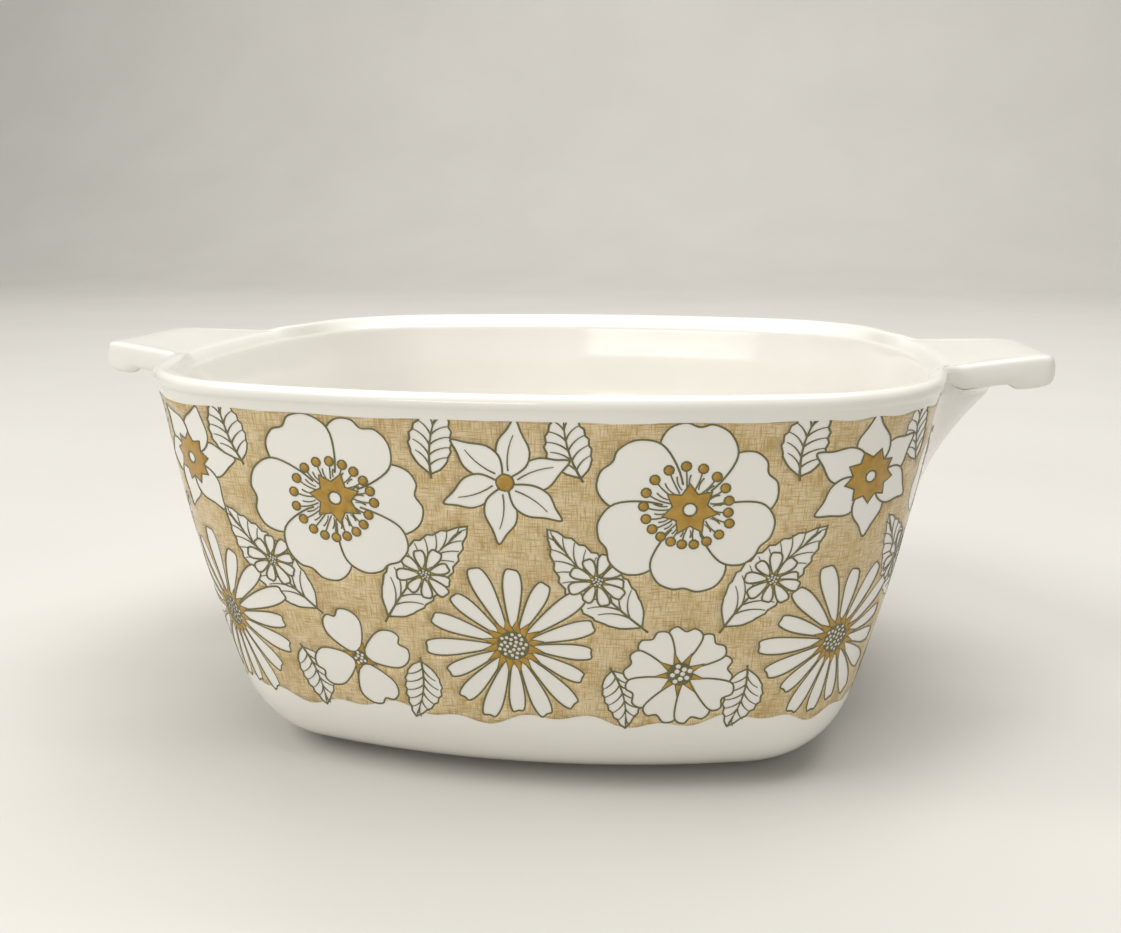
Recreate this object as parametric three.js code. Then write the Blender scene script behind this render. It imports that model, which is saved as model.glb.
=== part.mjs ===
// Square casserole dish with two tab handles: one pressed and fired body of white
// glass ceramic, and two thin fired-on transfers that carry the printed band.
// Millimetres, +Z up. The foot stands on z = 0 and the handles lie along X.
import * as THREE from 'three';

// ---- driving dimensions ----
const RIM_HALF = 90;            // half width over the rim at the middle of the front and back
const RIM_HALF_X = 91;          // the same on the two handle sides
const HEIGHT = 88;              // crown of the rim above the table
const BOW_FRONT = 202;          // radius of the bowed front and back sides, at the rim
const BOW_SIDE = 225;           // radius of the bowed handle sides, at the rim
const CORNER_R = 42;            // plan radius of the corners, at the rim

const WALL_TOP_Z = 79;          // where the rim roll runs out into the plain wall
const WALL_TOP_IN = 2.5;        // the wall there, inward of the rim's widest line
const WALL_FOOT_IN = 19.4;      // the wall's line carried down to the table
const WALL_SWELL = 1.2;         // how far the wall swells out between the two
const WALL_T = 4.8;             // wall thickness, measured level
const FLOOR_T = 5;              // thickness of the bottom
const FOOT_R = 24;              // outer fillet between wall and base
const INNER_R = 20;             // inner fillet between wall and bottom

const ROLL_R = 2.4;             // radius of the rim roll
const SEAT_OUT_IN = 3.2;        // sloping seat for a cover: its upper edge ...
const SEAT_IN_IN = 7.3;         // ... and its lower edge, inward of the widest line
const SEAT_TOP_Z = 87.75;
const SEAT_LOW_Z = 85;
const FLARE = 5;                // how much wider the mouth opens towards a handle, at the seat's foot
const FLARE_TOP = 2.9;          // ... and at its top
const FLARE_FOOT_Z = 50;        // the flare starts at this height
const FLARE_FULL = 20;          // it is full this far from the handle's centre line ...
const FLARE_END = 78;           // ... and has run out here

const TIP_X = 115.4;            // the handles reach this far from the centre
const TIP_HALF = 19.5;          // half width of a handle at its tip
const ROOT_X = 94;              // the handle's side line starts here
const ROOT_HALF = 29;           // with this half width
const TIP_CORNER_R = 5.5;
const ROOT_FILLET_R = 14;
const TAB_TOP_ROOT = 87.2;      // top of the handle at the rim
const TAB_TOP_TIP = 89;         // and at its tip
const TAB_T = 5.6;              // thickness of the tab
const LIP_T = 7.2;              // thickness over the lip that turns down at the tip
const LIP_WIDTH = 7.5;
const EDGE_R = 2.3;             // rounding of the tab's upper edge

const GUSSET_REACH = 14.2;      // how far the gusset stands off the wall under the tab
const GUSSET_TOP_Z = 80;
const GUSSET_FOOT_Z = 42;
const GUSSET_CURVE = 2.3;       // exponent of its hollow profile
const GUSSET_FLAT = 9;          // half width of its full middle
const GUSSET_HALF = 43;         // half width where it has run out into the wall

const PRINT_TOP_Z = 83;         // straight upper edge of the printed band
const PRINT_FOOT_Z = 15.5;
const PRINT_END_Y = 38;         // the bands stop this far from the handles' centre line
const PRINT_T = 0.15;           // thickness of a fired transfer
const PRINT_GAP = 0.05;         // clearance that keeps the solids apart

const clamp01 = (t) => Math.min(1, Math.max(0, t));
const smooth = (t) => clamp01(t) * clamp01(t) * (3 - 2 * clamp01(t));
const mix = (a, b, t) => a + (b - a) * t;

// ---- plan: four bowed sides joined by corner arcs, tangent to both ----
function planArcs() {
  const sideX = RIM_HALF_X - BOW_SIDE;
  const frontY = RIM_HALF - BOW_FRONT;
  const r1 = BOW_SIDE - CORNER_R;
  const r2 = BOW_FRONT - CORNER_R;
  const gap = Math.hypot(sideX, frontY);
  const along = (r1 * r1 - r2 * r2 + gap * gap) / (2 * gap);
  const across = Math.sqrt(r1 * r1 - along * along);
  const ux = -sideX / gap;
  const uy = frontY / gap;
  const cornerX = sideX + ux * along - uy * across;
  const cornerY = uy * along + ux * across;
  const sideEnd = Math.atan2(cornerY, cornerX - sideX);
  const frontStart = Math.atan2(cornerY - frontY, cornerX);
  return { sideX, frontY, cornerX, cornerY, sideEnd, frontStart };
}
const PLAN = planArcs();

// ---- plan of one handle: tip line, tip corner, side line, root fillet ----
function tabPlan() {
  const length = Math.hypot(TIP_X - ROOT_X, ROOT_HALF - TIP_HALF);
  const dx = (TIP_X - ROOT_X) / length;
  const dy = (TIP_HALF - ROOT_HALF) / length;
  const tipCornerX = TIP_X - TIP_CORNER_R;
  const sideThere = ROOT_HALF + (dy / dx) * (tipCornerX - ROOT_X);
  const tipCornerY = sideThere - TIP_CORNER_R / dx;
  // the root fillet touches the side line and the rim's arc from outside
  const ax = ROOT_X - dy * ROOT_FILLET_R - PLAN.sideX;
  const ay = ROOT_HALF + dx * ROOT_FILLET_R;
  const b = ax * dx + ay * dy;
  const c = ax * ax + ay * ay - (BOW_SIDE + ROOT_FILLET_R) ** 2;
  const t = -b + Math.sqrt(b * b - c);
  const filletX = ax + PLAN.sideX + dx * t;
  const filletY = ay + dy * t;
  return {
    dx,
    dy,
    tipCornerX,
    tipCornerY,
    tipEndY: tipCornerY + TIP_CORNER_R * dx,
    filletX,
    filletY,
    sideEndY: filletY - ROOT_FILLET_R * dx,
    rimY: (filletY * BOW_SIDE) / (BOW_SIDE + ROOT_FILLET_R),
  };
}
const TAB = tabPlan();

// how far the handle's outline stands out of the rim at a distance y from its centre line
function tabReach(y) {
  const rimX = PLAN.sideX + Math.sqrt(BOW_SIDE * BOW_SIDE - y * y);
  if (y <= TAB.tipCornerY) return TIP_X - rimX;
  if (y <= TAB.tipEndY) {
    return TAB.tipCornerX + Math.sqrt(TIP_CORNER_R ** 2 - (y - TAB.tipCornerY) ** 2) - rimX;
  }
  if (y <= TAB.sideEndY) return ROOT_X + ((y - ROOT_HALF) * TAB.dx) / TAB.dy - rimX;
  if (y < TAB.rimY) {
    return TAB.filletX - Math.sqrt(ROOT_FILLET_R ** 2 - (TAB.filletY - y) ** 2) - rimX;
  }
  return 0;
}

// ---- columns: stations round the plan, each an arc centre, a radius and a direction ----
function column(cx, cy, r, angle) {
  return { cx, cy, r, nx: Math.cos(angle), ny: Math.sin(angle) };
}

// distances from the centre line, close together where the handle's outline turns
function sideStations() {
  const ys = [0, 4, 7.5];
  for (let i = 0; i <= 4; i += 1) {
    ys.push(mix(TAB.tipCornerY, TAB.tipEndY, Math.sin((i / 4) * 0.5 * Math.PI)));
  }
  ys.push(mix(TAB.tipEndY, TAB.sideEndY, 0.33));
  ys.push(mix(TAB.tipEndY, TAB.sideEndY, 0.67));
  for (let i = 0; i <= 4; i += 1) {
    ys.push(mix(TAB.sideEndY, TAB.rimY, 1 - Math.cos((i / 4) * 0.5 * Math.PI)));
  }
  ys.push(PRINT_END_Y);
  ys.push(mix(PRINT_END_Y, BOW_SIDE * Math.sin(PLAN.sideEnd), 0.5));
  return ys.sort((p, q) => p - q).filter((y, i, all) => i === 0 || y - all[i - 1] > 0.3);
}

function quarterColumns() {
  const cols = sideStations().map((y) => column(PLAN.sideX, 0, BOW_SIDE, Math.asin(y / BOW_SIDE)));
  for (let i = 0; i <= 8; i += 1) {
    const angle = mix(PLAN.sideEnd, PLAN.frontStart, i / 8);
    cols.push(column(PLAN.cornerX, PLAN.cornerY, CORNER_R, angle));
  }
  for (let i = 1; i <= 5; i += 1) {
    cols.push(column(0, PLAN.frontY, BOW_FRONT, mix(PLAN.frontStart, 0.5 * Math.PI, i / 5)));
  }
  return cols;
}

// mirror the first quarter into the other three, in counter-clockwise order
function allColumns() {
  const quarter = quarterColumns();
  const flip = (col, sx, sy) => ({
    cx: col.cx * sx,
    cy: col.cy * sy,
    r: col.r,
    nx: col.nx * sx,
    ny: col.ny * sy,
  });
  const back = quarter.slice(0, -1).reverse();
  const second = back.map((col) => flip(col, -1, 1));
  const third = quarter.slice(1).map((col) => flip(col, -1, -1));
  const fourth = back.slice(0, -1).map((col) => flip(col, 1, -1));
  return [...quarter, ...second, ...third, ...fourth];
}
const COLUMNS = allColumns();

// point of a column that lies inset inward of the rim's widest line
function planPoint(col, inset, z) {
  return new THREE.Vector3(
    col.cx + col.nx * (col.r - inset),
    col.cy + col.ny * (col.r - inset),
    z,
  );
}

// handles stand on the columns of the two sides that face along X
function onHandleSide(col) {
  return Math.abs(col.cy) < 1e-9;
}

// ---- cross-section of the wall ----
const WALL_SLOPE = (WALL_FOOT_IN - WALL_TOP_IN) / WALL_TOP_Z;
const WALL_ANGLE = Math.atan(WALL_SLOPE);

// fillet between a level face at z = level and the wall's line shifted inward by shift
function fillet(radius, level, shift, steps) {
  const z = level + radius;
  const inset = WALL_FOOT_IN - WALL_SLOPE * z + shift + radius / Math.cos(WALL_ANGLE);
  const points = [];
  for (let i = 0; i <= steps; i += 1) {
    const a = mix(0.5 * Math.PI, WALL_ANGLE, i / steps);
    points.push([inset - radius * Math.cos(a), z - radius * Math.sin(a)]);
  }
  return points;
}
const FOOT = fillet(FOOT_R, 0, 0, 6);
const INNER = fillet(INNER_R, FLOOR_T, WALL_T, 6);
const WALL_START_Z = FOOT[FOOT.length - 1][1];

// inset of the outer wall at height z
function wallInset(z) {
  const t = clamp01((z - WALL_START_Z) / (WALL_TOP_Z - WALL_START_Z));
  return WALL_FOOT_IN - WALL_SLOPE * z - 4 * WALL_SWELL * t * (1 - t);
}

// rings inside the dish, from the bottom up to the crown, as [inset, z]
function innerSection() {
  const section = [...INNER];
  [34, 48, 62].forEach((z) => section.push([wallInset(z) + WALL_T, z]));
  section.push([8.5, 75]);
  section.push([SEAT_IN_IN + 0.4, 84.2]);
  section.push([SEAT_IN_IN, SEAT_LOW_Z]);
  section.push([SEAT_OUT_IN, SEAT_TOP_Z]);
  return section;
}

// point inside the dish; towards a handle the wall leans out and the seat gets steeper,
// and along the handle the crown gives way to the tab's flat top
function innerPoint(col, inset, z) {
  const point = planPoint(col, inset, z);
  const side = Math.sign(point.x);
  if (inset === SEAT_OUT_IN) {
    const reach = onHandleSide(col) ? tabReach(Math.abs(col.ny) * col.r) : 0;
    point.x += side * FLARE_TOP * smooth(reach / 8);
    point.z = mix(z, TAB_TOP_ROOT, smooth(reach / 6));
    return point;
  }
  const rise = clamp01((z - FLARE_FOOT_Z) / (SEAT_LOW_Z - FLARE_FOOT_Z));
  const share = 1 - smooth((Math.abs(point.y) - FLARE_FULL) / (FLARE_END - FLARE_FULL));
  point.x += side * FLARE * rise * rise * share;
  return point;
}

// rings of the plain rim from its crown down to the wall, as [inset, z]
function rimSection() {
  const z = HEIGHT - ROLL_R;
  const roll = [90, 66, 40, 12, -16, -42].map((deg) => {
    const a = THREE.MathUtils.degToRad(deg);
    return [ROLL_R - ROLL_R * Math.cos(a), z + ROLL_R * Math.sin(a)];
  });
  // the roll meets the wall in a short hollow, then the wall runs straight
  const wall = [PRINT_TOP_Z, 82, 80.6, WALL_TOP_Z].map((level) => [wallInset(level), level]);
  return [...roll, [1.2, 83.6], ...wall];
}

// how far the gusset under a handle stands off the wall
function gussetReach(y, z) {
  const height = clamp01((z - GUSSET_FOOT_Z) / (GUSSET_TOP_Z - GUSSET_FOOT_Z));
  const width = 1 - smooth((y - GUSSET_FLAT) / (GUSSET_HALF - GUSSET_FLAT));
  return GUSSET_REACH * height ** GUSSET_CURVE * width;
}

function tabTop(x) {
  return mix(TAB_TOP_ROOT, TAB_TOP_TIP, clamp01((x - ROOT_X + 4) / (TIP_X - ROOT_X + 4)));
}

// section through a handle at distance y, ring for ring with rimSection, as [x, z]
function tabSection(y, reach) {
  const rimX = PLAN.sideX + Math.sqrt(BOW_SIDE * BOW_SIDE - y * y);
  const edge = rimX + reach;
  const top = tabTop(edge);
  const lip = smooth((edge - TIP_X + LIP_WIDTH + 2) / 4);
  const low = top - mix(TAB_T, LIP_T, lip);
  const under = top - TAB_T;
  const inner = rimX - SEAT_OUT_IN;
  const flatX = mix(inner, edge - EDGE_R, 0.5);
  const gusset = rimX - wallInset(GUSSET_TOP_Z) + gussetReach(y, GUSSET_TOP_Z);
  const lipX = Math.min(TIP_X - LIP_WIDTH + 1.2, mix(rimX, edge, 0.8));
  const lipTopX = Math.min(TIP_X - LIP_WIDTH, mix(rimX, edge, 0.7));
  const cos45 = Math.SQRT1_2;
  return [
    [flatX, tabTop(flatX)],
    [edge - EDGE_R, tabTop(edge - EDGE_R)],
    [edge - EDGE_R * (1 - cos45), top - EDGE_R * (1 - cos45)],
    [edge, top - EDGE_R],
    [edge, low + 2],
    [edge - 0.6, low + 0.6],
    [edge - 2, low],
    [lipX, mix(under, low, lip)],
    [Math.max(lipTopX, gusset), under - 0.1],
    [gusset, GUSSET_TOP_Z + 0.6],
    [rimX - WALL_TOP_IN + gussetReach(y, WALL_TOP_Z), WALL_TOP_Z],
  ];
}

// one ring of the outside at a column: the plain rim, grown out into a tab at the handles
function outerPoint(col, index, section) {
  const [inset, z] = section[index];
  const point = planPoint(col, inset, z);
  if (!onHandleSide(col)) return point;
  const side = Math.sign(col.nx);
  const y = Math.abs(col.ny) * col.r;
  const reach = tabReach(y);
  if (index >= 11) {
    point.x += side * gussetReach(y, z);
    return point;
  }
  const tab = tabSection(y, reach)[index];
  const share = [0.5, 1, 1, 1, 1, 1, 1, 0.8, 0.5, 0.2, 0][index];
  const grown = point.x + side * (reach * share + gussetReach(y, Math.min(z, GUSSET_TOP_Z)) * (1 - share));
  const blend = smooth(reach / 6);
  point.x = mix(grown, side * tab[0], blend);
  point.y = mix(point.y, Math.sign(col.ny) * y, blend);
  point.z = mix(z, tab[1], blend);
  return point;
}

// rings from the wall's top down to the table, as [inset, z]
function wallSection() {
  const section = [72, 65, 58, 50, 42, 34, 26].map((z) => [wallInset(z), z]);
  const foot = [...FOOT].reverse();
  return [...section, ...foot];
}

function outerRings() {
  const section = [...rimSection(), ...wallSection()];
  return section.map((_, index) => COLUMNS.map((col) => outerPoint(col, index, section)));
}

// ---- mesh helpers ----
// closed body through a stack of equal rings, capped by a fan at each end
function loftRings(rings) {
  const size = rings[0].length;
  const positions = [];
  rings.forEach((ring) => ring.forEach((p) => positions.push(p.x, p.y, p.z)));
  const first = positions.length / 3;
  positions.push(0, 0, rings[0][0].z);
  positions.push(0, 0, rings[rings.length - 1][0].z);
  const index = [];
  for (let k = 0; k + 1 < rings.length; k += 1) {
    for (let i = 0; i < size; i += 1) {
      const j = (i + 1) % size;
      const a = k * size + i;
      const b = k * size + j;
      const c = a + size;
      const d = b + size;
      index.push(a, c, b);
      index.push(b, c, d);
    }
  }
  const tail = (rings.length - 1) * size;
  for (let i = 0; i < size; i += 1) {
    const j = (i + 1) % size;
    index.push(first, i, j);
    index.push(first + 1, tail + j, tail + i);
  }
  return buildGeometry(positions, index);
}

function buildGeometry(positions, index) {
  const geometry = new THREE.BufferGeometry();
  geometry.setAttribute('position', new THREE.Float32BufferAttribute(positions, 3));
  geometry.setIndex(index);
  geometry.computeVertexNormals();
  return geometry;
}

// thin shell over a patch of a grid of points: inner skin, outer skin and its four edges
function shellOverGrid(grid, normals, gap, thickness) {
  const rows = grid.length;
  const cols = grid[0].length;
  const positions = [];
  [gap, gap + thickness].forEach((lift) => {
    grid.forEach((row, r) => {
      row.forEach((p, c) => {
        const q = p.clone().addScaledVector(normals[r][c], lift);
        positions.push(q.x, q.y, q.z);
      });
    });
  });
  const at = (layer, r, c) => layer * rows * cols + r * cols + c;
  const index = [];
  for (let r = 0; r + 1 < rows; r += 1) {
    for (let c = 0; c + 1 < cols; c += 1) {
      index.push(at(1, r, c), at(1, r + 1, c), at(1, r, c + 1));
      index.push(at(1, r, c + 1), at(1, r + 1, c), at(1, r + 1, c + 1));
      index.push(at(0, r, c), at(0, r, c + 1), at(0, r + 1, c));
      index.push(at(0, r, c + 1), at(0, r + 1, c + 1), at(0, r + 1, c));
    }
  }
  const border = [];
  for (let c = 0; c + 1 < cols; c += 1) border.push([0, c]);
  for (let r = 0; r + 1 < rows; r += 1) border.push([r, cols - 1]);
  for (let c = cols - 1; c > 0; c -= 1) border.push([rows - 1, c]);
  for (let r = rows - 1; r > 0; r -= 1) border.push([r, 0]);
  border.forEach(([r, c], i) => {
    const [r2, c2] = border[(i + 1) % border.length];
    index.push(at(0, r, c), at(1, r, c), at(0, r2, c2));
    index.push(at(0, r2, c2), at(1, r, c), at(1, r2, c2));
  });
  return buildGeometry(positions, index);
}

// ---- materials ----
function glassCeramic() {
  return new THREE.MeshStandardMaterial({ color: 0xf2efe8, roughness: 0.12, metalness: 0 });
}

function transferInk() {
  return new THREE.MeshStandardMaterial({ color: 0xd8b478, roughness: 0.3, metalness: 0 });
}

// ---- pieces ----
function dishBody() {
  const inner = innerSection().map(([inset, z]) => COLUMNS.map((col) => innerPoint(col, inset, z)));
  const mesh = new THREE.Mesh(loftRings([...inner, ...outerRings()]), glassCeramic());
  mesh.name = 'dish_body';
  return mesh;
}

// outward direction of the outer surface at ring k, column i
function surfaceNormal(rings, k, i) {
  const size = rings[0].length;
  const left = rings[k][(i + size - 1) % size];
  const right = rings[k][(i + 1) % size];
  const up = rings[Math.max(0, k - 1)][i];
  const down = rings[k + 1][i];
  const round = right.clone().sub(left);
  const rise = up.clone().sub(down);
  return round.cross(rise).normalize();
}

// a transfer covers one half of the wall, from beside one handle round to the other
function printBand(name, facing) {
  const rings = outerRings();
  const levels = rings.map((ring, k) => k).filter((k) => {
    const z = rings[k][COLUMNS.length / 4 | 0].z;
    return z <= PRINT_TOP_Z + 0.01 && z >= PRINT_FOOT_Z - 0.01;
  });
  const stations = COLUMNS.map((col, i) => i).filter((i) => {
    const col = COLUMNS[i];
    return Math.sign(col.ny) === facing && Math.abs(col.ny) * col.r + Math.abs(col.cy) >= PRINT_END_Y - 0.01;
  });
  const grid = levels.map((k) => stations.map((i) => rings[k][i]));
  const normals = levels.map((k) => stations.map((i) => surfaceNormal(rings, k, i)));
  const mesh = new THREE.Mesh(shellOverGrid(grid, normals, PRINT_GAP, PRINT_T), transferInk());
  mesh.name = name;
  return mesh;
}

const dish = new THREE.Group();
dish.name = 'casserole_dish';
dish.add(dishBody());
dish.add(printBand('print_front', -1));
dish.add(printBand('print_back', 1));

export default dish;
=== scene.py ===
import math

import bpy
import numpy as np
from mathutils import Matrix, Vector
from mathutils.geometry import delaunay_2d_cdt


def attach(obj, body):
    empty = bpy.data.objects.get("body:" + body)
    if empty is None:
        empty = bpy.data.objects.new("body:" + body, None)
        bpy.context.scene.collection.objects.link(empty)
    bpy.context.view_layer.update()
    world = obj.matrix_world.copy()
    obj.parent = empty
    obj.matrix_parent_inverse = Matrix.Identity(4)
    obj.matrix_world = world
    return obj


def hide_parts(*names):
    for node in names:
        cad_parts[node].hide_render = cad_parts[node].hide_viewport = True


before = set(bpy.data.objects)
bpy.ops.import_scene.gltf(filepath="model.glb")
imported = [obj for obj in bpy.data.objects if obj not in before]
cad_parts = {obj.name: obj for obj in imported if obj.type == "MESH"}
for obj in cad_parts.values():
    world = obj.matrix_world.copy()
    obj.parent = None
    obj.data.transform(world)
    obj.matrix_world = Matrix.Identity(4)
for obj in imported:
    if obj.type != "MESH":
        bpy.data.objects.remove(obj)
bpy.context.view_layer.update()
MM = 0.001

# ---------------------------------------------------------------------------------------
# The dish's shape, in millimetres. The same plan and section as the CAD body, sampled finer,
# with a tighter rim roll and a smoother seat beside the handles.
# ---------------------------------------------------------------------------------------
RIM_HALF, RIM_HALF_X, HEIGHT = 90.0, 91.0, 88.0
BOW_FRONT, BOW_SIDE, CORNER_R = 202.0, 225.0, 42.0
WALL_TOP_Z, WALL_TOP_IN, WALL_FOOT_IN, WALL_SWELL = 79.0, 2.1, 19.4, 1.2
WALL_T, FLOOR_T, FOOT_R, INNER_R = 4.8, 5.0, 24.0, 20.0
ROLL_R, SEAT_OUT_IN, SEAT_TOP_Z, SEAT_LOW_Z = 1.7, 3.2, 87.75, 85.0
FLARE, FLARE_TOP, FLARE_FOOT_Z, FLARE_FULL, FLARE_END = 5.0, 2.9, 50.0, 20.0, 78.0
FLARE_TOP_FULL, FLARE_TOP_END = 24.0, 46.0
TIP_X, TIP_HALF, ROOT_X, ROOT_HALF = 115.4, 19.5, 94.0, 29.0
TIP_CORNER_R, ROOT_FILLET_R, EDGE_R = 5.5, 14.0, 2.3
TAB_TOP_ROOT, TAB_TOP_TIP, TAB_T, LIP_T, LIP_WIDTH = 87.2, 89.0, 5.6, 7.2, 7.5
GUSSET_REACH, GUSSET_TOP_Z, GUSSET_FOOT_Z, GUSSET_FLAT, GUSSET_HALF = 14.2, 80.0, 42.0, 9.0, 43.0
GUSSET_CURVE = 2.3
PRINT_TOP_Z, PRINT_FOOT_Z = 83.0, 15.5


def clamp01(t):
    return min(1.0, max(0.0, t))


def smooth(t):
    t = clamp01(t)
    return t * t * (3 - 2 * t)


def mix(a, b, t):
    return a + (b - a) * t


def plan_arcs():
    side_x, front_y = RIM_HALF_X - BOW_SIDE, RIM_HALF - BOW_FRONT
    r1, r2 = BOW_SIDE - CORNER_R, BOW_FRONT - CORNER_R
    gap = math.hypot(side_x, front_y)
    along = (r1 * r1 - r2 * r2 + gap * gap) / (2 * gap)
    across = math.sqrt(r1 * r1 - along * along)
    ux, uy = -side_x / gap, front_y / gap
    kx, ky = side_x + ux * along - uy * across, uy * along + ux * across
    return side_x, front_y, kx, ky, math.atan2(ky, kx - side_x), math.atan2(ky - front_y, kx)


SIDE_X, FRONT_Y, CORNER_X, CORNER_Y, SIDE_END, FRONT_START = plan_arcs()


def tab_plan():
    length = math.hypot(TIP_X - ROOT_X, ROOT_HALF - TIP_HALF)
    dx, dy = (TIP_X - ROOT_X) / length, (TIP_HALF - ROOT_HALF) / length
    corner_x = TIP_X - TIP_CORNER_R
    corner_y = ROOT_HALF + (dy / dx) * (corner_x - ROOT_X) - TIP_CORNER_R / dx
    ax, ay = ROOT_X - dy * ROOT_FILLET_R - SIDE_X, ROOT_HALF + dx * ROOT_FILLET_R
    b = ax * dx + ay * dy
    c = ax * ax + ay * ay - (BOW_SIDE + ROOT_FILLET_R) ** 2
    t = -b + math.sqrt(b * b - c)
    fx, fy = ax + SIDE_X + dx * t, ay + dy * t
    return dict(
        dx=dx, dy=dy, corner_x=corner_x, corner_y=corner_y, tip_end=corner_y + TIP_CORNER_R * dx,
        fx=fx, fy=fy, side_end=fy - ROOT_FILLET_R * dx, rim_y=fy * BOW_SIDE / (BOW_SIDE + ROOT_FILLET_R),
    )


TAB = tab_plan()


def tab_reach(y):
    rim = SIDE_X + math.sqrt(BOW_SIDE**2 - y * y)
    if y <= TAB["corner_y"]:
        return TIP_X - rim
    if y <= TAB["tip_end"]:
        return TAB["corner_x"] + math.sqrt(max(0, TIP_CORNER_R**2 - (y - TAB["corner_y"]) ** 2)) - rim
    if y <= TAB["side_end"]:
        return ROOT_X + (y - ROOT_HALF) * TAB["dx"] / TAB["dy"] - rim
    if y < TAB["rim_y"]:
        return max(0.0, TAB["fx"] - math.sqrt(max(0, ROOT_FILLET_R**2 - (TAB["fy"] - y) ** 2)) - rim)
    return 0.0


WALL_SLOPE = (WALL_FOOT_IN - WALL_TOP_IN) / WALL_TOP_Z
WALL_ANGLE = math.atan(WALL_SLOPE)
WALL_START_Z = FOOT_R - FOOT_R * math.sin(WALL_ANGLE)


def fillet(radius, level, shift, steps):
    z = level + radius
    inset = WALL_FOOT_IN - WALL_SLOPE * z + shift + radius / math.cos(WALL_ANGLE)
    angles = np.linspace(0.5 * math.pi, WALL_ANGLE, steps + 1)
    return [(inset - radius * math.cos(a), z - radius * math.sin(a)) for a in angles]


def wall_inset(z):
    t = clamp01((z - WALL_START_Z) / (WALL_TOP_Z - WALL_START_Z))
    return WALL_FOOT_IN - WALL_SLOPE * z - 4 * WALL_SWELL * t * (1 - t)


def gusset_reach(y, z):
    height = clamp01((z - GUSSET_FOOT_Z) / (GUSSET_TOP_Z - GUSSET_FOOT_Z))
    width = 1 - smooth((y - GUSSET_FLAT) / (GUSSET_HALF - GUSSET_FLAT))
    return GUSSET_REACH * height**GUSSET_CURVE * width


def tab_top(x):
    return mix(TAB_TOP_ROOT, TAB_TOP_TIP, clamp01((x - ROOT_X + 4) / (TIP_X - ROOT_X + 4)))


RIM_SECTION = [
    (ROLL_R - ROLL_R * math.cos(math.radians(d)), HEIGHT - ROLL_R + ROLL_R * math.sin(math.radians(d)))
    for d in (90, 66, 40, 12, -12, -34)
] + [(0.62, 84.9)] + [(wall_inset(z), z) for z in (PRINT_TOP_Z, 82.0, 80.6, WALL_TOP_Z)]
TAB_SHARE = [0.5, 1, 1, 1, 1, 1, 1, 0.8, 0.5, 0.2, 0]


def tab_section(y, reach):
    rim = SIDE_X + math.sqrt(BOW_SIDE**2 - y * y)
    edge = rim + reach
    top = tab_top(edge)
    lip = smooth((edge - TIP_X + LIP_WIDTH + 2) / 4)
    low = top - mix(TAB_T, LIP_T, lip)
    under = top - TAB_T
    flat_x = mix(rim - SEAT_OUT_IN, edge - EDGE_R, 0.5)
    gusset = rim - wall_inset(GUSSET_TOP_Z) + gusset_reach(y, GUSSET_TOP_Z)
    lip_x = min(TIP_X - LIP_WIDTH + 1.2, mix(rim, edge, 0.8))
    lip_top_x = min(TIP_X - LIP_WIDTH, mix(rim, edge, 0.7))
    c45 = math.sqrt(0.5)
    return [
        (flat_x, tab_top(flat_x)),
        (edge - EDGE_R, tab_top(edge - EDGE_R)),
        (edge - EDGE_R * (1 - c45), top - EDGE_R * (1 - c45)),
        (edge, top - EDGE_R),
        (edge, low + 2),
        (edge - 0.6, low + 0.6),
        (edge - 2, low),
        (lip_x, mix(under, low, lip)),
        (max(lip_top_x, gusset), under - 0.1),
        (gusset, GUSSET_TOP_Z + 0.6),
        (rim - WALL_TOP_IN + gusset_reach(y, WALL_TOP_Z), WALL_TOP_Z),
    ]


# a column is (centre x, centre y, radius, direction x, direction y, on a handle side)
def plan_point(col, inset, z):
    cx, cy, r, nx, ny, _ = col
    return [cx + nx * (r - inset), cy + ny * (r - inset), z]


def outer_point(col, section, index):
    inset, z = section[index]
    p = plan_point(col, inset, z)
    if not col[5]:
        return p
    side, y = math.copysign(1, col[3]), abs(col[4]) * col[2]
    gusset = gusset_reach(y, z)
    if index >= len(TAB_SHARE):
        p[0] += side * gusset
        return p
    reach = tab_reach(y)
    share = TAB_SHARE[index]
    grown = p[0] + side * (reach * share + gusset * (1 - share))
    tx, tz = tab_section(y, reach)[index]
    blend = smooth(reach / 6)
    return [mix(grown, side * tx, blend), mix(p[1], math.copysign(y, col[4]), blend), mix(z, tz, blend)]


FOOT = fillet(FOOT_R, 0, 0, 16)
WALL_LEVELS = [75.5, 72, 68.5, 65, 61.5, 58, 54.5, 51, 47.5, 44, 40.5, 37, 33.5, 30, 26.5, 23]
OUTSIDE = RIM_SECTION + [(wall_inset(z), z) for z in WALL_LEVELS] + FOOT[::-1]


def inner_point(col, inset, z):
    """point inside the dish; the mouth opens wider towards the handles"""
    p = plan_point(col, inset, z)
    reach = tab_reach(abs(col[4]) * col[2]) if col[5] else 0.0
    climb = clamp01((z - SEAT_LOW_Z) / (SEAT_TOP_Z - SEAT_LOW_Z))
    rise = clamp01((z - FLARE_FOOT_Z) / (SEAT_LOW_Z - FLARE_FOOT_Z))
    low = FLARE * rise * rise * (1 - smooth((abs(p[1]) - FLARE_FULL) / (FLARE_END - FLARE_FULL)))
    high = FLARE_TOP * (1 - smooth((abs(p[1]) - FLARE_TOP_FULL) / (FLARE_TOP_END - FLARE_TOP_FULL)))
    p[0] += math.copysign(mix(low, high, climb), p[0])
    # along a handle the seat ends at the tab's flat top, which lies lower than the crown
    p[2] -= (SEAT_TOP_Z - TAB_TOP_ROOT) * climb**2 * smooth(reach / 6)
    return p


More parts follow.
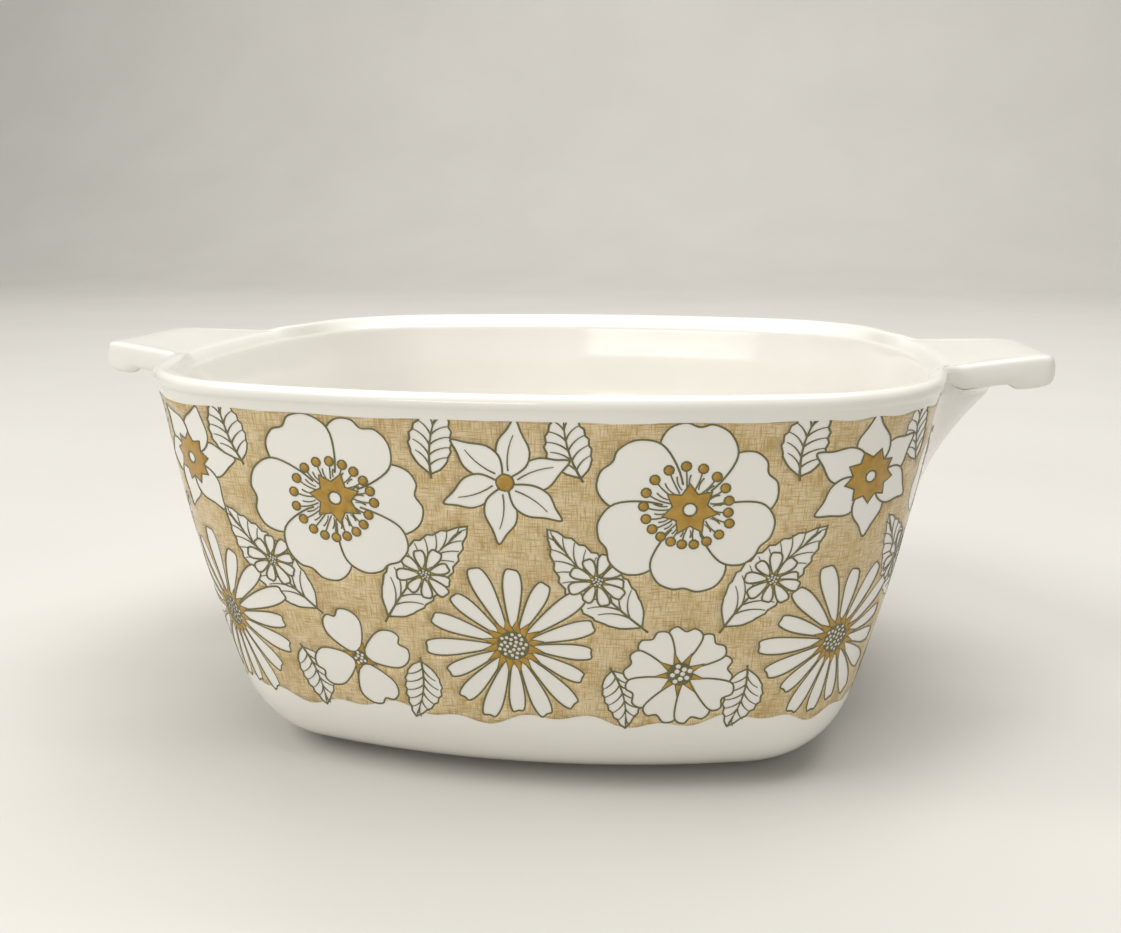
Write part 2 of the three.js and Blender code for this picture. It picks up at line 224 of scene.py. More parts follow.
def inner_rings(cols):
    section = fillet(INNER_R, FLOOR_T, WALL_T, 14)
    section += [(wall_inset(z) + WALL_T, z) for z in (26, 33, 40, 47, 54, 61, 66)]
    section += [(8.95, 71), (8.45, 76), (8.0, 80.5), (7.8, 83.2)]
    section += [(7.72, 84.1), (7.55, 84.6), (7.3, 84.92), (7.0, 85.2)]
    section += [(5.4, 86.34), (3.9, 87.4), (3.5, 87.62)]
    return [[inner_point(c, inset, z) for c in cols] for inset, z in section]


def catmull(p0, p1, p2, p3, t):
    """centripetal Catmull-Rom from p1 to p2, for whole rings of points at once"""
    t0 = np.zeros(len(p1))
    t1 = t0 + np.maximum(np.linalg.norm(p1 - p0, axis=1), 1e-6) ** 0.5
    t2 = t1 + np.maximum(np.linalg.norm(p2 - p1, axis=1), 1e-6) ** 0.5
    t3 = t2 + np.maximum(np.linalg.norm(p3 - p2, axis=1), 1e-6) ** 0.5
    u = t1 + (t2 - t1) * t

    def lerp(a, b, ta, tb):
        w = ((u - ta) / (tb - ta))[:, None]
        return a * (1 - w) + b * w

    a1, a2, a3 = lerp(p0, p1, t0, t1), lerp(p1, p2, t1, t2), lerp(p2, p3, t2, t3)
    b1, b2 = lerp(a1, a2, t0, t2), lerp(a2, a3, t1, t3)
    return lerp(b1, b2, t1, t2)


def outer_rings(cols, steps=5):
    coarse = [np.array([outer_point(c, OUTSIDE, k) for c in cols]) for k in range(len(OUTSIDE))]
    seat = np.array([inner_point(c, SEAT_OUT_IN, SEAT_TOP_Z) for c in cols])
    fine = [seat]
    chain = [2 * seat - coarse[0], seat] + coarse[:12]
    for k in range(1, len(chain) - 2):
        for i in range(1, steps + 1):
            fine.append(catmull(chain[k - 1], chain[k], chain[k + 1], chain[k + 2], i / steps))
    return fine + coarse[11:]


def quarter_columns():
    ys = list(np.linspace(0, TAB["corner_y"], 10))
    ys += [mix(TAB["corner_y"], TAB["tip_end"], math.sin(i / 14 * math.pi / 2)) for i in range(1, 15)]
    ys += list(np.linspace(TAB["tip_end"], TAB["side_end"], 12))[1:]
    ys += [mix(TAB["side_end"], TAB["rim_y"], 1 - math.cos(i / 16 * math.pi / 2)) for i in range(1, 17)]
    ys += list(np.linspace(TAB["rim_y"], BOW_SIDE * math.sin(SIDE_END), 9))[1:-1]
    cols = []
    for y in ys:
        a = math.asin(y / BOW_SIDE)
        cols.append((SIDE_X, 0.0, BOW_SIDE, math.cos(a), math.sin(a), True))
    for a in np.linspace(SIDE_END, FRONT_START, 27):
        cols.append((CORNER_X, CORNER_Y, CORNER_R, math.cos(a), math.sin(a), False))
    for a in np.linspace(FRONT_START, math.pi / 2, 19)[1:]:
        cols.append((0.0, FRONT_Y, BOW_FRONT, math.cos(a), math.sin(a), False))
    return cols


def all_columns():
    quarter = quarter_columns()

    def flip(col, sx, sy):
        cx, cy, r, nx, ny, handle = col
        return (cx * sx, cy * sy, r, nx * sx, ny * sy, handle)

    back = quarter[:-1][::-1]
    return (
        quarter
        + [flip(c, -1, 1) for c in back]
        + [flip(c, -1, -1) for c in quarter[1:]]
        + [flip(c, 1, -1) for c in back[:-1]]
    )


def mesh_object(name, verts, faces, smooth_shade=True):
    mesh = bpy.data.meshes.new(name)
    mesh.from_pydata([tuple(v) for v in verts], [], faces)
    mesh.validate()
    mesh.update()
    if smooth_shade:
        mesh.polygons.foreach_set("use_smooth", [True] * len(mesh.polygons))
    obj = bpy.data.objects.new(name, mesh)
    bpy.context.scene.collection.objects.link(obj)
    return obj


def build_body():
    cols = all_columns()
    rings = [np.array(r) for r in inner_rings(cols)] + outer_rings(cols)
    first, last = rings[0], rings[-1]
    shrink = lambda ring, k: ring * np.array([k, k, 1.0])
    rings = [shrink(first, 0.3), shrink(first, 0.65)] + rings + [shrink(last, 0.65), shrink(last, 0.3)]
    n = len(cols)
    verts = np.concatenate(rings)
    faces = []
    for k in range(len(rings) - 1):
        for i in range(n):
            j = (i + 1) % n
            faces.append((k * n + i, k * n + n + i, k * n + n + j, k * n + j))
    top, bottom = len(verts), len(verts) + 1
    verts = np.concatenate([verts, [[0, 0, first[0][2]]], [[0, 0, last[0][2]]]])
    tail = (len(rings) - 1) * n
    for i in range(n):
        j = (i + 1) % n
        faces.append((top, i, j))
        faces.append((bottom, tail + j, tail + i))
    return mesh_object("dish_glass_ceramic", verts * MM, faces)


# ---------------------------------------------------------------------------------------
# The printed band: a plain garden of generic flowers, drawn on the unrolled wall.
# s runs round the wall from the middle of the front and z upward, both in millimetres.
# Shapes are painted one over the other; "bare" leaves the white glass ceramic showing.
# ---------------------------------------------------------------------------------------
LINE_W = 0.37
FILM_HIGH, FILM_LOW = 0.10, 0.06     # the film's outer and inner skin, off the wall
BAND_END = 103.0
PITCH, COLUMN_COUNT = 34.0, 3             # columns of the repeat
LOW_Z, MIDDLE_Z, HIGH_Z = 36.0, 51.0, 66.0
PAINTS = ("ground", "gold", "line")
OPS = []


def closed_curve(points, steps=5):
    """closed Catmull-Rom curve through the points"""
    p = np.array(points, float)
    a, b, c, d = np.roll(p, 1, 0), p, np.roll(p, -1, 0), np.roll(p, -2, 0)
    out = [
        0.5 * (2 * b + (c - a) * u + (2 * a - 5 * b + 4 * c - d) * u**2 + (3 * b - a - 3 * c + d) * u**3)
        for u in np.arange(steps) / steps
    ]
    return np.stack(out, 1).reshape(-1, 2)


def offset(outline, distance):
    """the outline moved outward by a distance, mitred at its corners"""
    p = np.array(outline, float)
    area = np.sum(p[:, 0] * np.roll(p[:, 1], -1) - np.roll(p[:, 0], -1) * p[:, 1])
    edge = np.roll(p, -1, 0) - p
    edge /= np.maximum(np.linalg.norm(edge, axis=1), 1e-9)[:, None]
    normal = np.stack([edge[:, 1], -edge[:, 0]], 1) * math.copysign(1, area)
    both = normal + np.roll(normal, 1, 0)
    both /= np.maximum(np.linalg.norm(both, axis=1), 1e-6)[:, None]
    mitre = 1 / np.maximum(0.6, np.sum(both * normal, 1))
    return p + both * (distance * mitre)[:, None]


def paint(outline, colour):
    OPS.append((np.array(outline, float), colour))


def outlined(outline, colour, width=LINE_W):
    paint(offset(outline, width / 2), "line")
    paint(offset(outline, -width / 2), colour)


def stroke(path, start, end, colour="line"):
    """a line along the path whose width runs from start to end"""
    p = np.array(path, float)
    run = np.gradient(p, axis=0)
    run /= np.maximum(np.linalg.norm(run, axis=1), 1e-9)[:, None]
    side = np.stack([-run[:, 1], run[:, 0]], 1) * np.linspace(start, end, len(p))[:, None] / 2
    paint(np.concatenate([p + side, (p - side)[::-1]]), colour)


def arc_path(a, b, bend, count=6):
    """points from a to b, bowed sideways by a share of the distance"""
    a, b = np.array(a, float), np.array(b, float)
    t = np.linspace(0, 1, count)[:, None]
    side = np.array([a[1] - b[1], b[0] - a[0]]) * bend
    return a + (b - a) * t + side * 4 * t * (1 - t)


def place(points, centre, angle, scale):
    """local points (along, across) turned to an angle in degrees and set at a centre"""
    p = np.array(points, float) * scale
    c, s = math.cos(math.radians(angle)), math.sin(math.radians(angle))
    return np.stack([centre[0] + c * p[:, 0] - s * p[:, 1], centre[1] + s * p[:, 0] + c * p[:, 1]], 1)


def polar(centre, radius, angle):
    a = math.radians(angle)
    return centre[0] + radius * math.cos(a), centre[1] + radius * math.sin(a)


def wobble(k):
    """a repeatable number between -1 and 1"""
    return math.sin(12.9898 * k + 4.1)


def disc(centre, radius, colour, count=10, width=0.0):
    ring = [polar(centre, radius, 360 * i / count) for i in range(count)]
    if width:
        outlined(ring, colour, width)
    else:
        paint(ring, colour)


def star(centre, outer, inner, points, turn, colour):
    ring = []
    for i in range(points):
        a = turn + 360 * i / points
        ring += [polar(centre, outer, a), polar(centre, inner, a + 180 / points)]
    outlined(ring, colour, 0.3)


def seeds(centre, radius, count):
    """a green disc full of small pale seeds on a sunflower spiral"""
    size = 0.62 * radius / math.sqrt(count)
    disc(centre, radius, "line", 20)
    for i in range(count):
        at = polar(centre, (radius - size) * math.sqrt((i + 0.5) / count), 137.5 * i)
        disc(at, size, "bare", 7)


# half outlines of a petal, as (along, across) from its root to its tip
BROAD = [(0.08, 0.03), (0.34, 0.30), (0.66, 0.47), (0.90, 0.38), (0.99, 0.17)]
SLENDER = [(0.18, 0.02), (0.45, 0.085), (0.76, 0.125), (0.95, 0.09)]
HEART = [(0.22, 0.03), (0.55, 0.21), (0.86, 0.30), (1.0, 0.16)]
POINTED = [(0.10, 0.04), (0.35, 0.22), (0.62, 0.24), (0.86, 0.11)]


def petal(centre, angle, size, half, width, tip, seed, skew=0.0):
    """one outlined petal; tip is how far its middle stands in or out at the end"""
    left = [(u, v * width * (1 + 0.10 * wobble(seed + i))) for i, (u, v) in enumerate(half)]
    right = [(u * (1 + 0.03 * wobble(seed - i)), -v * width * (1 + 0.10 * wobble(seed + 7 + i)))
             for i, (u, v) in enumerate(half)]
    points = left + [(1.0 + tip, 0.0)] + right[::-1]
    points = [(u, v + skew * u * u) for u, v in points]
    outlined(closed_curve(place(points, centre, angle, size)), "bare")


def stamens(centre, size, count, seed):
    for i in range(count):
        angle = 360 * (i + 0.3 * wobble(seed + i)) / count
        reach = size * (0.46 + 0.05 * wobble(seed * 2 + i))
        head = polar(centre, reach, angle)
        stroke(arc_path(polar(centre, size * 0.22, angle + 4), head, 0.08 * wobble(i)), 0.28, 0.28)
        short = polar(centre, reach * 0.8, angle - 6)
        stroke(arc_path(polar(centre, size * 0.24, angle - 5), short, 0.1), 0.2, 0.3)
        disc(head, size * 0.052, "gold", 10, 0.3)


def blossom(centre, size, turn, seed=0, petals=5):
    """a large open flower: broad petals, stamens with gold heads, a gold star"""
    for i in range(petals):
        angle = turn + 360 * (i + 0.05 * wobble(seed + i)) / petals
        reach = size * (1 + 0.05 * wobble(seed + 3 * i))
        petal(centre, angle, reach, BROAD, 1.06 * 5 / petals, -0.05, seed + i)
    disc(centre, size * 0.3, "bare", 16)
    stamens(centre, size, 19, seed)
    star(centre, size * 0.30, size * 0.19, 7, turn + 12, "gold")
    disc(centre, size * 0.075, "bare", 12, 0.35)


def daisy(centre, size, count, turn, seed=0, heart=0.2, width=1.0):
    """slender petals round a heart of seeds, with gold between their roots"""
    for i in range(count):
        angle = turn + 360 * (i + 0.12 * wobble(seed + i)) / count
        reach = size * (1 + 0.09 * wobble(seed + 5 * i))
        petal(centre, angle, reach, SLENDER, width * 15 / count, -0.035, seed + i, 0.04 * wobble(i + seed))
    for i in range(count):
        angle = turn + 360 * (i + 0.5) / count
        wedge = [(heart * 0.8, 0.07), (heart + 0.17, 0.0), (heart * 0.8, -0.07)]
        outlined(place(wedge, centre, angle, size), "gold", 0.22)
    seeds(centre, size * heart, int(4 + 1.3 * size))


def cosmos(centre, size, count, turn, seed=0):
    """heart-shaped petals, a gold rosette and a ring of seeds"""
    for i in range(count):
        angle = turn + 360 * i / count
        petal(centre, angle, size * (1 + 0.06 * wobble(seed + i)), HEART, 9.5 / count, -0.09, seed + i)
    star(centre, size * 0.46, size * 0.2, count, turn + 180 / count, "gold")
    seeds(centre, size * 0.24, 9)


def lily(centre, size, turn, seed=0):
    """six pointed petals, each with a curved rib, round a gold bead"""
    for i in range(6):
        angle = turn + 60 * i + 5 * wobble(seed + i)
        petal(centre, angle, size, POINTED, 1.05, 0.06, seed + i, 0.08)
        root, end = polar(centre, size * 0.2, angle), polar(centre, size * 0.8, angle + 4)
        stroke(arc_path(root, end, 0.07), 0.3, 0.16)
    disc(centre, size * 0.14, "gold", 12, 0.3)


def narcissus(centre, size, turn, seed=0):
    for i in range(6):
        petal(centre, turn + 60 * i, size, POINTED, 1.25, 0.05, seed + i)
    star(centre, size * 0.46, size * 0.33, 9, turn, "gold")
    disc(centre, size * 0.1, "bare", 12, 0.35)


def dogwood(centre, size, turn, seed=0):
    for i in range(4):
        petal(centre, turn + 90 * i, size, BROAD, 0.85, -0.09, seed + i)
    star(centre, size * 0.36, size * 0.13, 4, turn + 45, "gold")
    seeds(centre, size * 0.16, 8)


def leaf(centre, length, width, angle, veins=6, bend=0.08):
    """a pointed leaf with a saw edge, a rib and side veins"""
    half = []
    for i in range(1, 2 * veins + 2):
        t = i / (2 * veins + 2)
        reach = width / 2 * math.sin(math.pi * t**0.8) ** 0.75
        half.append((t * length + (0.02 * length if i % 2 else 0), reach * (1.06 if i % 2 else 0.97)))
    bow = lambda t: bend * length * 4 * t * (1 - t)
    top = [(u, v + bow(u / length)) for u, v in half]
    low = [(u, -v + bow(u / length)) for u, v in half]
    ring = [(0, 0)] + top + [(length * 1.03, 0)] + low[::-1]
    ring = [(u - length / 2, v) for u, v in ring]
    outlined(place(ring, centre, angle, 1), "bare")
    rib = [(t * length - length / 2, bow(t)) for t in np.linspace(-0.06, 0.97, 9)]
    stroke(place(rib, centre, angle, 1), 0.5, 0.2)
    for i in range(veins):
        t = 0.12 + 0.72 * i / max(1, veins - 1)
        root = (t * length - length / 2, bow(t))
        for side in (1, -1):
            reach = 0.88 * width / 2 * math.sin(math.pi * min(1, t + 0.12) ** 0.8) ** 0.75
            end = (root[0] + 0.17 * length, bow(t) + side * reach)
            stroke(place(arc_path(root, end, -0.10 * side), centre, angle, 1), 0.34, 0.16)


def draw_band():
    """a plain half-drop repeat in painter's order: ground, leaves, then flowers"""
    wave = lambda s: 18.3 + 1.1 * math.sin(s / 6.1) + 0.8 * math.sin(s / 2.3 + 1)
    lower = [(s, wave(s)) for s in np.linspace(-105, 105, 141)]
    paint(lower + [(105, 90), (-105, 90)], "ground")
    columns = range(-COLUMN_COUNT, COLUMN_COUNT + 1)
    for k in columns:
        middle = PITCH * (k + 0.5)
        lean = 1 if k % 2 == 0 else -1
        leaf((middle, MIDDLE_Z), 27, 11, 90 + 41 * lean, 9, 0.04)
        leaf((middle - 4.5 * lean, 79), 14, 8, 90 + 12 * lean, 6)
        leaf((middle + 4.5 * lean, 24), 14, 8, -90 + 12 * lean, 6)
    for k in columns:
        s = PITCH * k
        if k % 2 == 0:
            daisy((s, LOW_Z), 18.5 + wobble(k), 16, 9 * k, k, 0.19, 0.92)
            (lily if k % 4 == 0 else narcissus)((s, HIGH_Z + 5), 12, 20 + 7 * k, k)
        else:
            blossom((s, HIGH_Z), 18.5 + wobble(k), 18 + 11 * k, k, 6)
            if k % 4 == 1:
                cosmos((s, LOW_Z - 6), 11.5, 9, 6 * k, k)
            else:
                dogwood((s, LOW_Z - 6), 11.5, 30 + 5 * k, k)
        daisy((s + PITCH / 2, MIDDLE_Z), 5.6, 9, 13 * k, k, 0.24)


def winding(outline, points):
    """true for the points inside the outline"""
    a, b = outline, np.roll(outline, -1, 0)
    count = np.zeros(len(points), int)
    for (x0, y0), (x1, y1) in zip(a, b):
        cross = (x1 - x0) * (points[:, 1] - y0) - (points[:, 0] - x0) * (y1 - y0)
        count += ((y0 <= points[:, 1]) & (y1 > points[:, 1]) & (cross > 0)).astype(int)
        count -= ((y0 > points[:, 1]) & (y1 <= points[:, 1]) & (cross < 0)).astype(int)
    return count != 0


def cut_band():
    """triangles of the design: points (s, z), triangles, and the paint of each"""
    draw_band()
    points, edges = [], []

    def add_ring(ring):
        first = len(points)
        points.extend(Vector(p) for p in ring)
        edges.extend((first + i, first + (i + 1) % len(ring)) for i in range(len(ring)))

    low_edge = [(-BAND_END, PRINT_FOOT_Z), (BAND_END, PRINT_FOOT_Z)]
    add_ring(low_edge + [(BAND_END, PRINT_TOP_Z), (-BAND_END, PRINT_TOP_Z)])
    for outline, _ in OPS:
        low, high = outline.min(0), outline.max(0)
        if high[0] > -BAND_END and low[0] < BAND_END and low[1] < PRINT_TOP_Z and high[1] > PRINT_FOOT_Z:
            add_ring(outline)
    # a loose grid lets the film follow the wall's curves
    for s in np.arange(-BAND_END + 1, BAND_END, 2.0):
        for z in np.arange(PRINT_FOOT_Z + 1, PRINT_TOP_Z, 2.0):
            points.append(Vector((s, z)))
    verts, _, faces, *_ = delaunay_2d_cdt(points, edges, [], 0, 1e-4)
    verts = np.array([tuple(v) for v in verts])
    tris = np.array([f for f in faces if len(f) == 3])
    middle = verts[tris].mean(1)
    inside = np.abs(middle[:, 0]) < BAND_END
    inside &= (middle[:, 1] > PRINT_FOOT_Z) & (middle[:, 1] < PRINT_TOP_Z)
    tris, middle = tris[inside], middle[inside]
    colour = np.full(len(tris), -1)
    for outline, name in OPS:
        low, high = outline.min(0), outline.max(0)
        near = np.nonzero(np.all((middle >= low) & (middle <= high), axis=1))[0]
        hit = near[winding(outline, middle[near])]
        colour[hit] = PAINTS.index(name) if name in PAINTS else -1
    return verts, tris, colour


def wall_column(s):
    """the column at distance s round the wall, measured on a line a little inside the rim"""
    inset = 8.0
    front = (BOW_FRONT - inset) * (math.pi / 2 - FRONT_START)
    corner = (CORNER_R - inset) * (FRONT_START - SIDE_END)
    a, side = abs(s), math.copysign(1, s)
    if a <= front:
        cx, cy, r, handle = 0.0, FRONT_Y, BOW_FRONT, False
        angle = math.pi / 2 - a / (BOW_FRONT - inset)
    elif a <= front + corner:
        cx, cy, r, handle = CORNER_X, CORNER_Y, CORNER_R, False
        angle = FRONT_START - (a - front) / (CORNER_R - inset)
    else:
        cx, cy, r, handle = SIDE_X, 0.0, BOW_SIDE, True
        angle = SIDE_END - (a - front - corner) / (BOW_SIDE - inset)
    return side * cx, -cy, r, side * math.cos(angle), -math.sin(angle), handle


def wall_grid():
    """positions on the outer wall for a regular grid of s and z"""
    s_axis = np.linspace(-BAND_END - 1, BAND_END + 1, 209)
    z_axis = np.linspace(PRINT_FOOT_Z - 0.5, PRINT_TOP_Z + 0.25, 96)
    rings = np.array(outer_rings([wall_column(s) for s in s_axis]))
    grid = np.zeros((len(s_axis), len(z_axis), 3))
    for i in range(len(s_axis)):
        line = rings[6:, i][::-1]
        for axis in range(3):
            grid[i, :, axis] = np.interp(z_axis, line[:, 2], line[:, axis])
    return s_axis, z_axis, grid


def on_wall(points, lift):
    """points (s, z) of the design placed on the wall, raised by lift"""
    s_axis, z_axis, grid = WALL
    du, dv = np.gradient(grid, axis=(0, 1))
    normal = np.cross(du, dv)
    normal /= np.linalg.norm(normal, axis=2)[:, :, None]
    u = (points[:, 0] - s_axis[0]) / (s_axis[1] - s_axis[0])
    v = (points[:, 1] - z_axis[0]) / (z_axis[1] - z_axis[0])
    i, j = np.floor(u).astype(int), np.floor(v).astype(int)
    fu, fv = (u - i)[:, None], (v - j)[:, None]

    def blend(field):
        near = field[i, j] * (1 - fv) + field[i, j + 1] * fv
        far = field[i + 1, j] * (1 - fv) + field[i + 1, j + 1] * fv
        return near * (1 - fu) + far * fu

    return blend(grid) + blend(normal) * lift


def film(name, node_name, verts, tris, half_turn, material):
    """a closed film of one ink: an outer skin, an inner skin and the edges between them"""
    used, tris = np.unique(tris, return_inverse=True)
    tris = tris.reshape(-1, 3)
    flat = verts[used]
    n = len(flat)
    shell = np.concatenate([on_wall(flat, FILM_HIGH), on_wall(flat, FILM_LOW)])
    if half_turn:
        shell[:, :2] *= -1
    pairs = np.concatenate([tris[:, [0, 1]], tris[:, [1, 2]], tris[:, [2, 0]]])
    seen = {tuple(p) for p in pairs.tolist()}
    rim = [(a, b) for a, b in seen if (b, a) not in seen]
    rim.sort()
    faces = tris.tolist() + [(a + n, c + n, b + n) for a, b, c in tris.tolist()]
    faces += [(b, a, a + n, b + n) for a, b in rim]
    obj = mesh_object(name, shell * MM, faces)
    layer = obj.data.uv_layers.new(name="weave")
    index = np.empty(len(obj.data.loops), int)
    obj.data.loops.foreach_get("vertex_index", index)
    layer.data.foreach_set("uv", np.concatenate([flat, flat])[index].ravel())
    obj.data.materials.append(material)
    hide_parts(node_name)
    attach(obj, "root")
    return obj


# ---------------------------------------------------------------------------------------
# Materials
# ---------------------------------------------------------------------------------------
def new_material(name):
    mat = bpy.data.materials.new(name)
    mat.use_nodes = True
    nt = mat.node_tree
    return mat, nt, nt.nodes["Principled BSDF"]


def node(nt, kind, **values):
    n = nt.nodes.new(kind)
    for key, value in values.items():
        if key in n.inputs.keys():
            n.inputs[key].default_value = value
        else:
            setattr(n, key, value)
    return n


def ramp(nt, source, stops):
    r = nt.nodes.new("ShaderNodeValToRGB")
    r.color_ramp.elements[0].position, r.color_ramp.elements[0].color = stops[0]
    r.color_ramp.elements[1].position, r.color_ramp.elements[1].color = stops[-1]
    for pos, colour in stops[1:-1]:
        e = r.color_ramp.elements.new(pos)
        e.color = colour
    nt.links.new(source, r.inputs[0])
    return r


def glass_ceramic():
    mat, nt, bsdf = new_material("white_glass_ceramic")
    coords = node(nt, "ShaderNodeTexCoord")
    cloud = node(nt, "ShaderNodeTexNoise", Scale=18.0, Detail=3.0, Roughness=0.5)
    nt.links.new(coords.outputs["Object"], cloud.inputs["Vector"])
    tone = ramp(nt, cloud.outputs["Fac"], [(0.3, (0.80, 0.78, 0.728, 1)), (0.7, (0.84, 0.822, 0.772, 1))])
    nt.links.new(tone.outputs["Color"], bsdf.inputs["Base Color"])
    # faint waviness left by pressing, and finer orange peel of the fired skin
    wave = node(nt, "ShaderNodeTexNoise", Scale=32.0, Detail=1.0)
    peel = node(nt, "ShaderNodeTexNoise", Scale=520.0, Detail=2.0)
    for n in (wave, peel):
        nt.links.new(coords.outputs["Object"], n.inputs["Vector"])
    bump1 = node(nt, "ShaderNodeBump", Strength=0.25, Distance=0.0006)
    bump2 = node(nt, "ShaderNodeBump", Strength=0.04, Distance=0.0001)
    nt.links.new(wave.outputs["Fac"], bump1.inputs["Height"])
    nt.links.new(peel.outputs["Fac"], bump2.inputs["Height"])
    nt.links.new(bump1.outputs["Normal"], bump2.inputs["Normal"])
    nt.links.new(bump2.outputs["Normal"], bsdf.inputs["Normal"])
    rough = node(nt, "ShaderNodeTexNoise", Scale=60.0, Detail=4.0)
    nt.links.new(coords.outputs["Object"], rough.inputs["Vector"])
    spread = node(nt, "ShaderNodeMapRange")
    spread.inputs["To Min"].default_value = 0.07
    spread.inputs["To Max"].default_value = 0.13
    nt.links.new(rough.outputs["Fac"], spread.inputs["Value"])
    nt.links.new(spread.outputs["Result"], bsdf.inputs["Roughness"])
    bsdf.inputs["IOR"].default_value = 1.52
    return mat


def ink(name, low, high, roughness):
    """an enamel ink: two close tones in soft clouds and fine specks, a little rough"""
    mat, nt, bsdf = new_material(name)
    coords = node(nt, "ShaderNodeTexCoord")
    cloud = node(nt, "ShaderNodeTexNoise", Scale=420.0, Detail=4.0, Roughness=0.65)
    nt.links.new(coords.outputs["Object"], cloud.inputs["Vector"])
    tone = ramp(nt, cloud.outputs["Fac"], [(0.35, low), (0.65, high)])
    nt.links.new(tone.outputs["Color"], bsdf.inputs["Base Color"])
    bump = node(nt, "ShaderNodeBump", Strength=0.15, Distance=0.00005)
    nt.links.new(cloud.outputs["Fac"], bump.inputs["Height"])
    nt.links.new(bump.outputs["Normal"], bsdf.inputs["Normal"])
    bsdf.inputs["Roughness"].default_value = roughness
    return mat


def linen_ground():
    """tan threads crossing on cream, printed like coarse linen; the uv map is in millimetres"""
    mat, nt, bsdf = new_material("linen_print")
    uv = node(nt, "ShaderNodeUVMap", uv_map="weave")
    cloud = node(nt, "ShaderNodeTexNoise", Scale=0.16, Detail=3.0)
    nt.links.new(uv.outputs["UV"], cloud.inputs["Vector"])
    threads = []
    for stretch in ((4.2, 0.3, 1.0), (0.3, 4.2, 1.0)):
        turn = node(nt, "ShaderNodeMapping")
        turn.inputs["Scale"].default_value = stretch
        thread = node(nt, "ShaderNodeTexNoise", Scale=1.0, Detail=2.0, Roughness=0.6)
        nt.links.new(uv.outputs["UV"], turn.inputs["Vector"])
        nt.links.new(turn.outputs["Vector"], thread.inputs["Vector"])
        threads.append(thread)
    cross = node(nt, "ShaderNodeMath", operation="MAXIMUM")
    nt.links.new(threads[0].outputs["Fac"], cross.inputs[0])
    nt.links.new(threads[1].outputs["Fac"], cross.inputs[1])
    patchy = node(nt, "ShaderNodeMath", operation="MULTIPLY_ADD")
    nt.links.new(cloud.outputs["Fac"], patchy.inputs[0])
    patchy.inputs[1].default_value = 0.3
    nt.links.new(cross.outputs[0], patchy.inputs[2])
    tone = ramp(nt, patchy.outputs[0], [(0.60, (0.70, 0.58, 0.37, 1)), (0.80, (0.46, 0.31, 0.105, 1))])
    nt.links.new(tone.outputs["Color"], bsdf.inputs["Base Color"])
    bsdf.inputs["Roughness"].default_value = 0.24
    return mat


def build_prints():
    """three inks on each half of the wall; the back is the front turned half round"""
    verts, tris, colour = cut_band()
    inks = {
        "ground": linen_ground(),
        "gold": ink("gold_enamel", (0.36, 0.20, 0.022, 1), (0.47, 0.275, 0.04, 1), 0.22),
        "line": ink("olive_enamel", (0.11, 0.10, 0.03, 1), (0.155, 0.142, 0.048, 1), 0.25),
    }
    for side, half_turn in (("front", False), ("back", True)):
        for number, name in enumerate(PAINTS):
            piece, chosen = "print_%s_%s" % (side, name), tris[colour == number]
            film(piece, "print_" + side, verts, chosen, half_turn, inks[name])


body = build_body()
body.data.materials.append(glass_ceramic())
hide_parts("dish_body")
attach(body, "root")
WALL = wall_grid()
build_prints()

# ---------------------------------------------------------------------------------------
# Stage
# ---------------------------------------------------------------------------------------
CAMERA_PLACE = (0.03966, -0.29963, 0.12033)     # metres
CAMERA_AIM = (-0.1326, 0.9689, -0.2090)
SENSOR_MM, LENS_MM = 36.0, 38.0


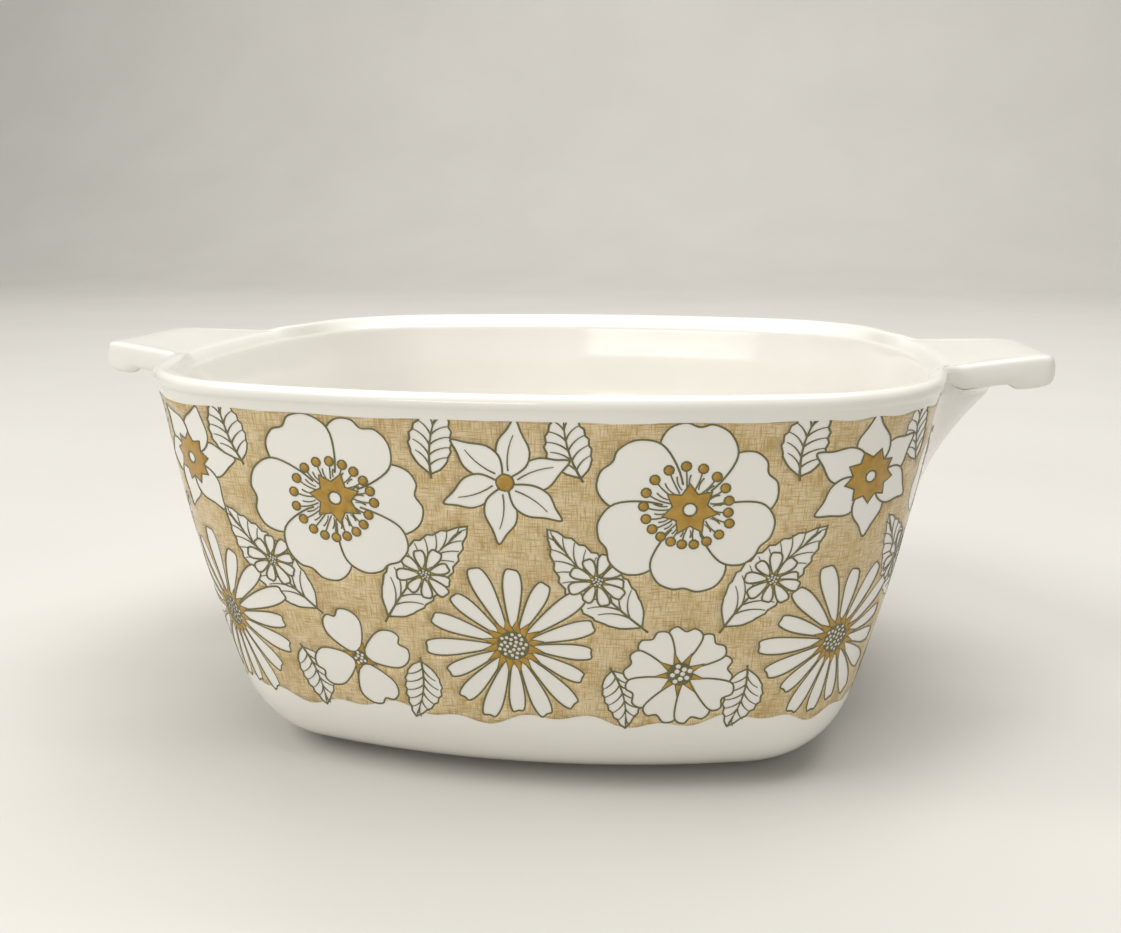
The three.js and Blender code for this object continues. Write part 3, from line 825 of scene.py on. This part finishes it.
def build_floor():
    # a sweep: level table that curves up into a backdrop
    pts = [(y, 0.0) for y in np.linspace(-9.0, 1.6, 14)]
    pts += [(1.6 + 0.8 * math.sin(a), 0.8 - 0.8 * math.cos(a)) for a in np.linspace(0.2, math.pi / 2, 12)]
    pts.append((2.4, 3.2))
    xs = np.linspace(-9.0, 9.0, 13)
    verts = [(x, y, z) for y, z in pts for x in xs]
    faces = []
    for r in range(len(pts) - 1):
        for c in range(len(xs) - 1):
            a = r * len(xs) + c
            faces.append((a, a + 1, a + 1 + len(xs), a + len(xs)))
    floor = mesh_object("floor", verts, faces)
    mat, nt, bsdf = new_material("pale_floor")
    coords = node(nt, "ShaderNodeTexCoord")
    grain = node(nt, "ShaderNodeTexNoise", Scale=6.0, Detail=4.0)
    nt.links.new(coords.outputs["Object"], grain.inputs["Vector"])
    tone = ramp(nt, grain.outputs["Fac"], [(0.3, (0.62, 0.605, 0.57, 1)), (0.7, (0.65, 0.635, 0.60, 1))])
    nt.links.new(tone.outputs["Color"], bsdf.inputs["Base Color"])
    bsdf.inputs["Roughness"].default_value = 0.85
    floor.data.materials.append(mat)


def area_light(name, place, target, size, power, colour=(1, 1, 1)):
    data = bpy.data.lights.new(name, "AREA")
    data.shape = "RECTANGLE"
    data.size, data.size_y = size
    data.energy = power
    data.color = colour
    obj = bpy.data.objects.new(name, data)
    bpy.context.scene.collection.objects.link(obj)
    obj.location = place
    obj.rotation_euler = (Vector(target) - Vector(place)).to_track_quat("-Z", "Y").to_euler()
    return obj


def build_lights():
    world = bpy.data.worlds.new("studio")
    world.use_nodes = True
    world.node_tree.nodes["Background"].inputs["Color"].default_value = (1.0, 0.985, 0.955, 1)
    world.node_tree.nodes["Background"].inputs["Strength"].default_value = 0.34
    bpy.context.scene.world = world
    bpy.context.scene.view_settings.view_transform = "Standard"
    area_light("key", (-0.85, -0.6, 1.1), (0, 0, 0.05), (0.9, 0.7), 9.5, (1.0, 0.985, 0.955))
    area_light("window", (-0.41, -1.43, 0.32), (0, 0, 0.07), (0.6, 0.28), 2.8, (1.0, 0.99, 0.97))
    area_light("top", (0.2, -0.15, 1.1), (0, 0, 0.05), (0.9, 0.7), 7.8, (1.0, 0.99, 0.97))
    area_light("backdrop_wash", (0.0, 0.7, 1.7), (0, 2.0, 0.3), (2.0, 0.6), 24.0, (1.0, 0.985, 0.955))


def build_camera():
    data = bpy.data.cameras.new("camera")
    data.sensor_width = SENSOR_MM
    data.lens = LENS_MM
    cam = bpy.data.objects.new("camera", data)
    bpy.context.scene.collection.objects.link(cam)
    # the dish is turned a little, and seen from just above its rim
    place = Vector(CAMERA_PLACE)
    forward = Vector(CAMERA_AIM).normalized()
    right = forward.cross(Vector((0, 0, 1))).normalized()
    up = right.cross(forward)
    cam.matrix_world = Matrix.Translation(place) @ Matrix((right, up, -forward)).transposed().to_4x4()
    bpy.context.scene.camera = cam


build_floor()
build_lights()
build_camera()
